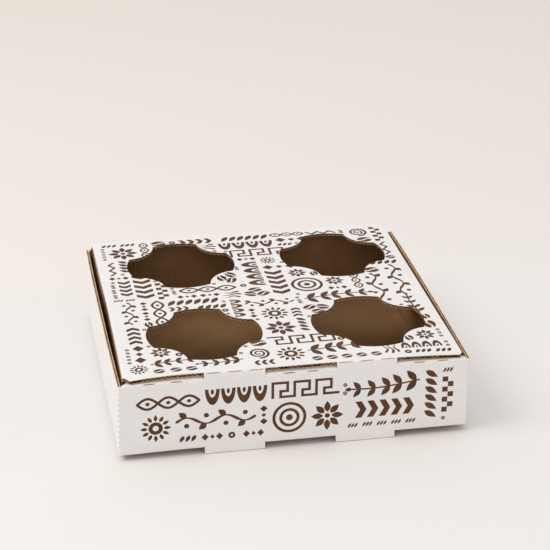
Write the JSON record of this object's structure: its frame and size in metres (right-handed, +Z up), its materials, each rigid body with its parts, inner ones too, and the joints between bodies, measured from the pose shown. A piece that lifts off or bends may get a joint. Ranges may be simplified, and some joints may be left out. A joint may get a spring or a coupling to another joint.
{
  "type": "cup carrier",
  "caption": "Folded corrugated-board tray with a lid whose lobed openings hold lidded paper cups.",
  "frame": {"origin": "centre of the footprint, on the surface that the feet stand on", "axes": "+Z up, +X to the right as seen from the front, +Y from the front to the rear panel"},
  "size_m": [0.248, 0.233, 0.063],
  "materials": {
    "board": "white-lined micro-fluted board, kraft inside, printed in dark brown"
  },
  "bodies": {
    "root": {"cup_carrier": "board"}
  },
  "joints": []
}
